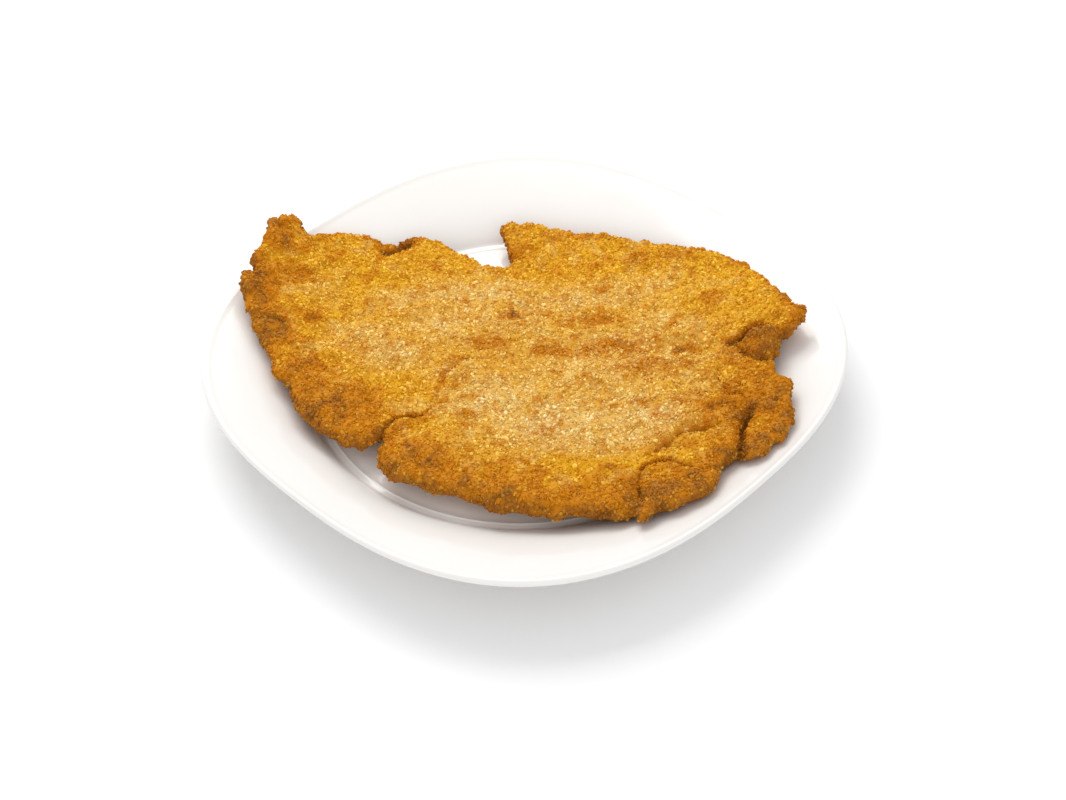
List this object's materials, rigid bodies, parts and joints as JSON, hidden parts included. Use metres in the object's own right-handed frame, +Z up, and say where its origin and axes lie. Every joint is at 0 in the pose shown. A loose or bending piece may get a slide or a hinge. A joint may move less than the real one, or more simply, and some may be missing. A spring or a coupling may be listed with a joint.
{
  "type": "schnitzel on a dinner plate",
  "caption": "Large breaded schnitzel with a notched, folded outline and a rough golden crust, lying across a white rounded-square dinner plate.",
  "frame": {"origin": "middle of the plate's foot ring, on the surface it stands on", "axes": "+Z up; the plate's four soft corners point along +X, -X, +Y and -Y; the schnitzel's tail is towards -X and +Y, its folded thumb towards +X"},
  "size_m": [0.2798, 0.2798, 0.0405],
  "materials": {
    "plate_glaze": "smooth glossy white glaze",
    "crust": "rough fried crumb crust, golden with brown edges"
  },
  "bodies": {
    "root": {"plate": "plate_glaze", "schnitzel": "crust"}
  },
  "joints": []
}
